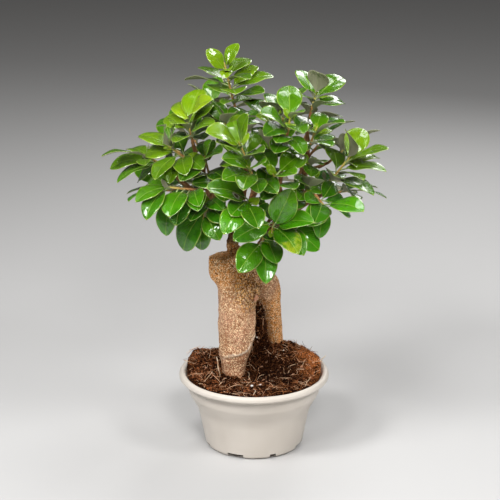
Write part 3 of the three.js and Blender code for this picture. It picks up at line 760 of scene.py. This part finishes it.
colour = cloud.fade(0.35, 0.7).mix(BARK_TAN, BARK_PINK).painted(
    (mottle.fade(0.5, 0.3) * 0.3, BARK_DARK),
    (mottle.fade(0.56, 0.72) * 0.35, BARK_PALE),
    (golden * 0.8, BARK_GOLD),
    (streak.fade(0.58, 0.36) * 0.38, BARK_DARK),
    (pits * (0.45 + 0.2 * clump + 0.35 * golden), BARK_DARK),
    (head * blotches.fade(0.5, 0.6) * 0.7, (0.13, 0.062, 0.012)),
    (head * specks.fade(0.56, 0.66) * 0.6, BARK_PALE),
    (under * 0.65, (0.3, 0.115, 0.05)),
    (rough * 0.8, (0.24, 0.08, 0.008)),
    (rough * flecks * 0.85, (0.85, 0.44, 0.12)),
    (rough * cracks * 0.85, (0.05, 0.014, 0.001)),
    (pores * (0.7 + 0.3 * clump - 0.3 * rough), BARK_PALE),
    (crease * (0.55 + 0.45 * x.fade(-24, -8)), (0.95, 0.78, 0.6)),
    (stub * 0.8, (0.74, 0.36, 0.23)),
)
scab = blotches.fade(0.42, 0.6) * z.fade(236, 222)
twig = (cloud * 0.6 + streak * 0.4).fade(0.35, 0.65).mix(TWIG_BROWN, (0.3, 0.17, 0.075))
wart = tone.fade(0.1, 1.0).mix((0.5, 0.3, 0.17), BARK_PALE)
colour = twig.painted(
    (scab * 0.9, (0.035, 0.014, 0.004)), (low, colour), (tone.fade(0.01, 0.02), wart)
)
bark = close(
    streak * 0.8 + pores * 0.5 + rough * (1.0 - cracks) - pits * 0.5,
    0.0009,
    0.7,
    Base_Color=colour,
    Roughness=0.66 + 0.2 * streak,
    Specular_IOR_Level=0.08,
)

pore_forms = forms_of("pore", [pebble(k + 30, 0, 0.5, 0.45) for k in range(4)])
start, (wood, pore_density, pore_shelf, bark_in), grow = graph_of(
    "pored_bark", pore_density=PORE_DENSITY, pores=pore_forms, bark=bark
)
height = start.node("GeometryNodeInputPosition").parts()[2]
rooty = height.maths("LESS_THAN", height, PORE_TOP)
spots, turn = strewn(start, wood, rooty, pore_density, PORE_SEED)
size = drawn(start, 0.3 * MM, 1.05 * MM, PORE_SEED + 1)
warts = set_out(start, spots, pore_shelf, turn, size, tone=drawn(start, 0.1, 1.0, PORE_SEED + 3))
start.node("NodeGroupOutput", {}, {0: joined(start, bark_in, wood, warts)})
grow(trunk)
clear_forms(pore_forms)
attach(trunk, "root")
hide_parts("trunk")

# Each shoot is a young stem with a sheathed bud at its tip and its leaves set round it. A leaf is a
# waxy obovate blade on a short stalk, folded a little along its pale midrib and arched to its tip.
STALK_SHARE = 0.15
STALK_RADIUS = 0.0175
LEAF_SPREAD = 0.26
LEAF_ARCH = 0.09
LEAF_FOLD = 0.2
# In the CAD the widest row of a leaf is here along it, and an upright edge is this high.
WIDEST = 0.48
EDGE_THICKNESS = 0.75
LEAF_THICK = 0.011
STEM_RADIUS = 1.25 * MM
STEM_BEND = 0.05
LEAF_FORMS = 11
BUD_LEAVES = 3
# Leaves near this middle of the crown are painted darker as shade.
CROWN_CENTRE = (-6, 8, 250)
NEW_LEAF_LENGTH = 25
BUD_LENGTH = 7 * MM
# One leaf is yellowed and one is spotted: where it is, how far round that, and its mark.
MARKED_LEAVES = [((44, -90, 238), 16, 1.0), ((-27, -84, 290), 15, 0.82)]
LEAF_SEED = 31
# Each stem: its foot, its heading and rise in degrees, and its length.
shoot_stems = {
    "crown": ((-17, -2, 340), 205, 75, 42),
    "upper_left": ((-58, -30, 319), 230, 70, 17),
    "left_mid": ((-62, -25, 299), 200, 35, 19),
    "far_left": ((-83, 5, 283), 180, 30, 20),
    "left_low": ((-49, -45, 275), 190, 5, 32),
    "left_hang": ((-40, -40, 268), 235, -55, 18),
    "centre": ((-4, -72, 302), 230, 60, 26),
    "centre_low": ((3, -70, 288), 240, 45, 22),
    "centre_right": ((24, -60, 281), 250, 40, 22),
    "right_up": ((51, -5, 331), 0, 75, 24),
    "right_in": ((29, -50, 322), 290, 65, 24),
    "right_mid": ((50, -35, 311), 320, 65, 19),
    "far_right": ((65, -10, 265), 0, 50, 36),
    "right_low": ((58, -40, 268), 310, -35, 16),
    "low_centre": ((-2, -62, 274), 255, -15, 19),
    "low_right": ((20, -48, 251), 260, -25, 20),
    "lowest": ((11, -38, 238), 250, -55, 18),
    "inner_left": ((-42, -28, 283), 255, 55, 22),
    "inner_top": ((-25, -20, 317), 260, 60, 20),
    "inner_right": ((49, -12, 278), 290, 55, 19),
    "inner_low_left": ((-46, -20, 254), 235, 25, 18),
    "inner_low_right": ((43, -30, 261), 290, 40, 20),
    "back_left_low": ((-62, 50, 246), 150, 10, 20),
    "back_low": ((-8, 68, 246), 92, 5, 20),
    "back_right_low": ((54, 52, 248), 42, 8, 20),
    "left_under": ((-76, 24, 256), 170, -5, 20),
    "right_under": ((76, 22, 254), 14, 0, 20),
    "back_left": ((-68, 48, 282), 143, 32, 20),
    "back_mid": ((-8, 74, 286), 92, 35, 20),
    "back_right": ((56, 56, 284), 45, 32, 20),
    "right_back": ((74, 28, 284), 22, 35, 20),
    "left_back": ((-52, 30, 296), 150, 48, 20),
    "back_up_left": ((-34, 42, 312), 118, 55, 20),
    "back_up_right": ((24, 48, 308), 62, 50, 20),
    "right_up_back": ((50, 30, 308), 50, 55, 20),
    "top_right": ((10, 0, 318), 300, 50, 20),
    "inner_mid": ((-19, -30, 266), 250, 40, 20),
    "inner_deep": ((12, -28, 292), 285, 50, 20),
}
# How young the leaves of a shoot are: 0 is dark and full grown, 1 is new and yellow green.
OLD_SHOOT = 0.12
shoot_youth = {"upper_left": 0.95, "crown": 0.55, "far_right": 0.5, "left_mid": 0.45}
shoot_youth |= {"far_left": 0.35, "centre": 0.5}


def leaves_in(node):
    """Root, direction, face and length of each leaf of a CAD shoot, in millimetres.

    A blade has an upright edge at its tip and at each corner of its margin. The tip and the middle of
    the widest row tell where the leaf lies, and the two corners of that row confirm it.
    """
    corners = np.unique(np.round(read_points(node.data) / MM, 4), axis=0)
    gaps = corners[None] - corners[:, None]
    far = np.linalg.norm(gaps, axis=2)
    a, b = np.nonzero(np.abs(far - EDGE_THICKNESS) < 0.004)
    middles, ways = (corners[a] + corners[b]) / 2, gaps[a, b] / far[a, b][:, None]
    found = []
    rest, slope = 1 - WIDEST, 4 * LEAF_ARCH * WIDEST
    for middle, way in zip(middles, ways):
        alike = np.nonzero(ways @ way > 0.99999)[0]
        reach = middles[alike] - middle
        rise = reach @ way
        flat = reach - rise[:, None] * way
        span = np.linalg.norm(flat, axis=1)
        for k in np.nonzero((span > 10) & (np.abs(rise + slope * span) < 0.05))[0]:
            length = span[k] / rest
            along = flat[k] / span[k]
            half = LEAF_SPREAD * length
            side = np.cross(along, way) * half
            corner = middles[alike] - middle - way * LEAF_FOLD * (half - EDGE_THICKNESS)
            misses = [np.min(np.linalg.norm(corner - s * side, axis=1)) for s in (-1, 1)]
            root = middle - along * WIDEST * length - way * slope * rest * length
            twins = [np.linalg.norm(root - leaf[0]) < 0.5 and along @ leaf[1] > 0.99 for leaf in found]
            if max(misses) < 0.05 and not any(twins):
                found.append((root, along, way, length))
    return found


def smooth_steps(stops, t):
    """A smooth curve through (place, value) stops."""
    places, values = zip(*stops)
    slopes = np.gradient(values, places)
    k = int(np.clip(np.searchsorted(places, t) - 1, 0, len(places) - 2))
    span = places[k + 1] - places[k]
    s = (t - places[k]) / span
    a, b = values[k], values[k + 1]
    m, n = slopes[k] * span, slopes[k + 1] * span
    start = (2 * s**3 - 3 * s**2 + 1) * a + (s**3 - 2 * s**2 + s) * m
    return start + (3 * s**2 - 2 * s**3) * b + (s**3 - s**2) * n


# Half widths along a leaf, as shares of its spread.
leaf_outline = [(STALK_SHARE - 0.01, 0.05), (0.22, 0.26), (0.32, 0.64), (0.44, 0.92), (0.56, 1.04)]
leaf_outline += [(0.68, 1.03), (0.8, 0.88), (0.89, 0.65), (0.95, 0.42), (0.985, 0.21), (1.0, 0.03)]


def leaf_form(seed):
    """Points, faces and the place on the leaf of each point, for a leaf one unit long on a stalk."""
    rows, columns = 20, 10
    wave, curl, twist, lean, fold, plump, keen = (noise.noise((seed * 9.7, k * 4.1, 0.3)) for k in range(7))
    points, places = [], []

    def bow(t):
        return 4 * LEAF_ARCH * t * (1 - t) * (1 + 0.5 * curl)

    for layer in (1, 0):
        for i in range(rows + 1):
            t = STALK_SHARE + (1 - STALK_SHARE) * (i / rows) ** 0.92
            half = LEAF_SPREAD * max(smooth_steps(leaf_outline, t), 0.02) * (0.97 + 0.2 * plump)
            half *= 1 - max(0, keen) * max(0, t - 0.45)
            for j in range(columns + 1):
                u = 2 * j / columns - 1
                u = math.copysign(abs(u) ** 0.9, u)
                x = u * half
                cup = LEAF_FOLD * (1.3 + 0.7 * fold) * abs(x) - 0.6 * x * x
                ripple = 0.022 * math.sin(9 * t + 6 * wave + (2 if u > 0 else 0))
                ripple *= u * u * math.sin(math.pi * t)
                droop = -0.13 * max(0, t - 0.7) * (1.3 + curl)
                sway = 0.045 * lean * math.sin(math.pi * t)
                turn = 0.5 * twist * (t - 0.3)
                lift = bow(t) + cup + ripple + droop + x * turn
                rib = 0.012 * math.exp(-((x / 0.012) ** 2)) * (1.1 - t)
                if layer:
                    z = lift - 0.35 * rib
                else:
                    z = lift - LEAF_THICK * (1 - 0.6 * u**4) - rib
                points.append((x + sway, t, z))
                places.append((u, t, x, 1 - layer))
    wide, count = columns + 1, (columns + 1) * (rows + 1)
    faces = []
    for i in range(rows):
        for j in range(columns):
            a = i * wide + j
            faces.append((a, a + 1, a + wide + 1, a + wide))
            faces.append((count + a, count + a + wide, count + a + wide + 1, count + a + 1))
    edge = [*range(wide), *(i * wide + columns for i in range(1, rows + 1))]
    edge += [rows * wide + j for j in reversed(range(columns))]
    edge += [i * wide for i in reversed(range(1, rows))]
    for a, b in zip(edge, edge[1:] + edge[:1]):
        faces.append((b, a, count + a, count + b))
    first = len(points)
    stations, sides = 6, 6
    for k in range(stations):
        t = (STALK_SHARE + 0.05) * k / (stations - 1)
        radius = STALK_RADIUS - 0.003 * k / stations
        for a in range(sides):
            turn = 2 * math.pi * a / sides
            points.append((radius * math.cos(turn), t, bow(t) - LEAF_THICK * 0.6 + radius * math.sin(turn)))
            places.append((0.0, t, 0.0, 0.5))
    stalk = tube_faces(first, sides, stations - 1)
    faces += [(a, d, c, b) for a, b, c, d in stalk[:-2]] + [cap[::-1] for cap in stalk[-2:]]
    return points, faces, places


leaf_shapes = [leaf_form(LEAF_SEED + k) for k in range(LEAF_FORMS)]
leaf_shelf = forms_of("leaf_form", [shape[:2] for shape in leaf_shapes])
for form, shape in zip(leaf_shelf.objects, leaf_shapes):
    marks = form.data.attributes.new("leaf_place", "FLOAT_COLOR", "POINT")
    marks.data.foreach_set("color", np.array(shape[2], np.float32).ravel())

start, place, close = finish_of("ficus_leaf")
mark = start.attribute("leaf_place", "Color")
under = Wire(start.tree, mark.socket.node.outputs["Alpha"])
u, t, x = mark.parts()
tone, youth, odd = start.attribute("leaf_kind", "Vector").parts()
across, aside = abs(u), abs(x)
cloud = place.noise(55, 3)
mottle = place.noise(330, 4, 0.6)
midrib = (aside + 0.006 * t).fade(0.018, 0.007)
rows = 12.0 * t - 26.0 * aside + 0.15 * mottle
quilt = start.maths("SINE", rows * (2 * math.pi))
rake = start.maths("FRACT", rows)
vein = abs(rake - 0.5).fade(0.06, 0.0) * across.fade(0.97, 0.75) * t.fade(0.18, 0.3)
margin = start.maths("MAXIMUM", across.fade(0.9, 0.97), t.fade(0.965, 0.99)) * t.fade(0.2, 0.3)
# The tone of a leaf is drawn at random, and lowered as painted shade for leaves deep in the crown.
light = (tone * 0.8 + cloud * 0.4).fade(0.2, 1.0)
upper = light.mix((0.006, 0.048, 0.001), (0.042, 0.175, 0.001))
lit_lower = light.mix((0.005, 0.08, 0.001), (0.04, 0.3, 0.002))
# Leaves low in the crown are a purer green, and are painted lighter as painted light.
grown = (place.parts()[2].fade(290 * MM, 255 * MM) * 0.75).mix(upper, lit_lower)
new = (tone * 0.5 + cloud * 0.5).fade(0.2, 0.8).mix((0.11, 0.25, 0.002), (0.27, 0.4, 0.005))
# This darkens the troughs between the side veins as painted shade, and adds dark blotches that are the
# leaf's own colour.
trough_shade_and_blotches = quilt.fade(0.2, -1.0) * 0.18 + place.noise(140, 4, 0.65).fade(0.48, 0.36) * 0.35
yellowed = odd.fade(0.9, 0.96) * (cloud + 0.3 * mottle).fade(0.6, 0.85) * t.fade(0.4, 0.7)
spotted = odd.fade(0.76, 0.8) * odd.fade(0.9, 0.86)
spot = ((t - 0.46) ** 2.0 + (x + 0.09) ** 2.0) ** 0.5 + 0.03 * mottle
# The undersides are partly their own pale olive and partly painted light: lightened and greyed as a painted
# sheen.
back = (tone * 0.6 + cloud * 0.4).mix((0.27, 0.27, 0.17), (0.5, 0.47, 0.34))
back = back.painted((midrib * 0.7 + vein * 0.3, (0.46, 0.5, 0.28)))
colour = youth.mix(grown, new).painted(
    (mottle.fade(0.45, 0.75) * 0.25, (0.07, 0.25, 0.002)),
    (trough_shade_and_blotches * (1.0 - youth * 0.6), (0.004, 0.045, 0.001)),
    (yellowed * 0.6, (0.42, 0.44, 0.015)),
    (spotted * spot.fade(0.12, 0.085) * 0.8, (0.3, 0.3, 0.24)),
    (spotted * spot.fade(0.075, 0.05), (0.012, 0.012, 0.01)),
    (vein * 0.4, (0.12, 0.29, 0.01)),
    (midrib * 0.5, (0.27, 0.42, 0.05)),
    (margin * (0.2 + 0.6 * mottle), (0.42, 0.52, 0.09)),
    (under, back),
)
gloss = 0.1 + 0.08 * mottle + 0.5 * under
glaze = (0.4 + 0.6 * rake.fade(0.25, 0.5)) * mottle.fade(0.34, 0.52)
height = quilt * 0.22 * across.fade(1.0, 0.7) + mottle * 0.1 + cloud * 0.6 - midrib * 0.5 - vein * 0.2
leaf_finish = close(
    height,
    0.0006,
    0.7,
    Base_Color=colour,
    Roughness=gloss,
    Coat_Weight=0.9 * glaze * (1.0 - under),
    Coat_Roughness=0.06,
    Coat_IOR=1.6,
    Specular_IOR_Level=0.32,
    Specular_Tint=(0.8, 1.0, 0.55, 1.0),
)

start, place, close = finish_of("young_stem")
age = start.attribute("stem_age")
bands = place.noise(500, 3)
colour = (age + 0.3 * bands).fade(0.55, 1.1).mix((0.36, 0.16, 0.055), (0.5, 0.42, 0.08))
colour = colour.painted((bands.fade(0.5, 0.65) * 0.6, (0.62, 0.3, 0.09)))
stem_finish = close(bands, 0.0003, 0.4, Base_Color=colour, Roughness=0.45 + 0.15 * bands)


def direction(heading, rise):
    flat = math.cos(math.radians(rise))
    turn = math.radians(heading)
    return Vector((flat * math.cos(turn), flat * math.sin(turn), math.sin(math.radians(rise))))


def bud_leaves(tip, way, random):
    """Root, direction, face and length of the small new leaves that are opening round a bud."""
    found = []
    aside = way.orthogonal().normalized()
    turn = 360 * random.random()
    for k in range(BUD_LEAVES):
        side = Matrix.Rotation(math.radians(turn + 137.5 * k), 3, way) @ aside
        lean = math.radians(22 + 20 * k + 10 * random.random())
        along = way * math.cos(lean) + side * math.sin(lean)
        face = (way - along * along.dot(way)).normalized()
        found.append((np.array(tip - way * (1.2 + 1.5 * k)), np.array(along), np.array(face), 10 + 4.5 * k))
    return found


def shoot_seed_mesh(name, leaves, foot, way, length, youth, random):
    """What a shoot grows from: a line of points for its stem, a point for its bud and one for each leaf."""
    steps = 8
    stem = [foot - way * 1.6]
    for k in range(steps + 1):
        t = k / steps
        stem.append(foot + way * (length * t) + Vector((0, 0, STEM_BEND * length * t * t)))
    count = len(stem)
    roots, alongs, faces, sizes = zip(*leaves)
    places = [*stem, stem[-1], *(Vector(root) for root in roots)]
    mesh = bpy.data.meshes.new(name)
    mesh.from_pydata([tuple(p * MM) for p in places], [(k, k + 1) for k in range(count - 1)], [])
    upright, front = [(0, 0, 1)] * count, tuple(way.orthogonal().normalized())
    forms = [int(random.integers(LEAF_FORMS)) for _ in leaves]
    rows = {
        "kind_of": ("INT", [0] * count + [1] + [2] * len(leaves)),
        "stem_age": ("FLOAT", [k / (count - 1) for k in range(count)] + [1] * (1 + len(leaves))),
        "along": ("FLOAT_VECTOR", [*upright, tuple(way), *map(tuple, alongs)]),
        "face": ("FLOAT_VECTOR", [*upright, front, *map(tuple, faces)]),
        "size": ("FLOAT", [0] * count + [BUD_LENGTH] + [size * MM for size in sizes]),
        "form": ("INT", [0] * (count + 1) + forms),
    }
    kinds = [(0.5, youth, 0.0)] * (count + 1)
    for root, along, _, size in leaves:
        late = max(0.0, min(1.0, (Vector(root) - foot).length / length))
        own = youth * (0.35 + 0.75 * late) * (0.75 + 0.5 * random.random())
        if size < NEW_LEAF_LENGTH:
            own = 0.55 + 0.4 * random.random()
        middle = Vector(root + along * size * 0.6)
        # Leaves deep in the crown get a lower tone: painted shade, darker the nearer they lie to
        # CROWN_CENTRE.
        out_of_crown_shade = min(1.0, max(0.0, ((middle - Vector(CROWN_CENTRE)).length - 45) / 50))
        odd = 0.7 * random.random()
        for spot, reach, mark in MARKED_LEAVES:
            if (middle - Vector(spot)).length < reach:
                odd = mark
        kinds.append(((0.25 + 0.75 * random.random()) * (0.2 + 0.8 * out_of_crown_shade), min(1.0, own), odd))
    rows["leaf_kind"] = ("FLOAT_VECTOR", kinds)
    for label, (kind, values) in rows.items():
        data = mesh.attributes.new(label, kind, "POINT").data
        values = np.array(values, np.int32 if kind == "INT" else np.float32)
        data.foreach_set("vector" if kind == "FLOAT_VECTOR" else "value", values.ravel())
    return placed(name, mesh)


def bud_form():
    """A sheathed bud: a slim spear one unit long."""
    points, faces = turned([(0, -0.12), (0.1, 0.0), (0.135, 0.22), (0.1, 0.55), (0.04, 0.85), (0, 1.0)], 7)
    return [(p[0], p[2], -p[1]) for p in points], faces


bud_shelf = forms_of("bud", [bud_form()])
start, (seed, stem_radius, leaf_forms, buds, leaf_in, stem_in), grow = graph_of(
    "leafy_shoot",
    stem_radius=STEM_RADIUS,
    leaf_forms=leaf_shelf,
    buds=bud_shelf,
    leaf=leaf_finish,
    stem=stem_finish,
)


def named(label, kind):
    return start.node("GeometryNodeInputNamedAttribute", {"data_type": kind}, {"Name": label})


def set_on_stem(number, forms, pick):
    """Forms on the points of one kind, each turned and sized by that point's own values."""
    settings = {"data_type": "INT", "operation": "EQUAL"}
    chosen = start.node("FunctionNodeCompare", settings, {2: named("kind_of", "INT"), 3: number})
    points = start.node("GeometryNodeMeshToPoints", {}, {"Mesh": seed, "Selection": chosen})
    axes = {"primary_axis": "Z", "secondary_axis": "Y"}
    ways = {0: named("face", "FLOAT_VECTOR"), 1: named("along", "FLOAT_VECTOR")}
    turn = start.node("FunctionNodeAxesToRotation", axes, ways)
    return set_out(start, points, forms, turn, named("size", "FLOAT"), {"Instance Index": pick})


blades = joined(start, leaf_in, set_on_stem(2, leaf_forms, named("form", "INT")))
line = start.node("GeometryNodeMeshToCurve", {}, {"Mesh": seed})
round_form = {"Resolution": 8, "Radius": stem_radius}
ring = start.node("GeometryNodeCurvePrimitiveCircle", {"mode": "RADIUS"}, round_form)
taper = 1.15 - 0.35 * named("stem_age", "FLOAT")
tube_inputs = {"Curve": line, "Profile Curve": ring, "Fill Caps": True, "Scale": taper}
tube = start.node("GeometryNodeCurveToMesh", {}, tube_inputs)
woody = joined(start, stem_in, tube, set_on_stem(1, buds, 0))
start.node("NodeGroupOutput", {}, {0: joined(start, None, blades, woody)})

random = np.random.default_rng(LEAF_SEED)
for name, (foot, heading, rise, length) in shoot_stems.items():
    foot, way = Vector(foot), direction(heading, rise)
    tip = foot + way * length + Vector((0, 0, STEM_BEND * length))
    leaves = leaves_in(frame["nodes"]["shoot_" + name]) + bud_leaves(tip, way, random)
    youth = shoot_youth.get(name, OLD_SHOOT)
    shoot = grow(shoot_seed_mesh("leafy_" + name, leaves, foot, way, length, youth, random))
    shoot.data.shade_smooth()
    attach(shoot, "root")
    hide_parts("shoot_" + name)
clear_forms(leaf_shelf, bud_shelf)

# The plain pale floor that the pot stands on.
FLOOR_REACH = 8
_, place, close = finish_of("pale_floor")
floor_finish = close(Base_Color=(0.52, 0.515, 0.51, 1), Roughness=0.7 + 0.05 * place.noise(3))
corners = [(-FLOOR_REACH, -FLOOR_REACH, 0), (FLOOR_REACH, -FLOOR_REACH, 0)]
corners += [(FLOOR_REACH, FLOOR_REACH, 0), (-FLOOR_REACH, FLOOR_REACH, 0)]
floor = piece_of("floor", corners, [(0, 1, 2, 3)])
floor.data.materials.append(floor_finish)

# Studio light: a soft lamp high on either side, two over the plant, two small ones in front and a weak rim.
AIM = Vector((0, 0, 0.23))
world = bpy.data.worlds.new("studio")
world.use_nodes = True
sky = world.node_tree.nodes["Background"].inputs
sky["Color"].default_value, sky["Strength"].default_value = (1, 0.98, 0.95, 1), 0.08
bpy.context.scene.world = world
# Each lamp: its place in metres, its width and its power.
lamps = {
    "left": ((-1.0, -0.8, 1.3), 0.38, 15),
    "near_left": ((-0.5, -1.2, 1.35), 0.28, 7.5),
    "right": ((1.05, -0.8, 1.25), 0.4, 11),
    "front": ((0.2, -1.3, 1.1), 0.3, 10.5),
    "top": ((-0.3, -0.6, 1.65), 0.35, 8),
    "crown": ((0.3, 0.4, 1.55), 0.45, 6),
    "rim": ((0.5, 1.2, 0.9), 0.5, 5),
}
for name, (where, size, power) in lamps.items():
    light = bpy.data.lights.new(name, "AREA")
    light.size, light.energy = size, power
    lamp = placed(name, light)
    lamp.location = where
    lamp.rotation_euler = (AIM - Vector(where)).to_track_quat("-Z", "Y").to_euler()

# The camera stands well back with a long lens and looks a little down, as in the photograph.
CAMERA_PITCH = math.radians(17.5)
CAMERA_DISTANCE = 1.5
CAMERA_AIM = Vector((-0.004, 0, 0.202))
SENSOR_WIDTH = 36
FOCAL_PIXELS = 1535
PHOTO_PIXELS = 500
camera = placed("camera", bpy.data.cameras.new("camera"))
camera.data.sensor_width = SENSOR_WIDTH
camera.data.lens = SENSOR_WIDTH * FOCAL_PIXELS / PHOTO_PIXELS
sight = Vector((0, math.cos(CAMERA_PITCH), -math.sin(CAMERA_PITCH)))
camera.location = CAMERA_AIM - sight * CAMERA_DISTANCE
camera.rotation_euler = (math.pi / 2 - CAMERA_PITCH, 0, 0)
bpy.context.scene.camera = camera
bpy.context.scene.view_settings.view_transform = "Standard"
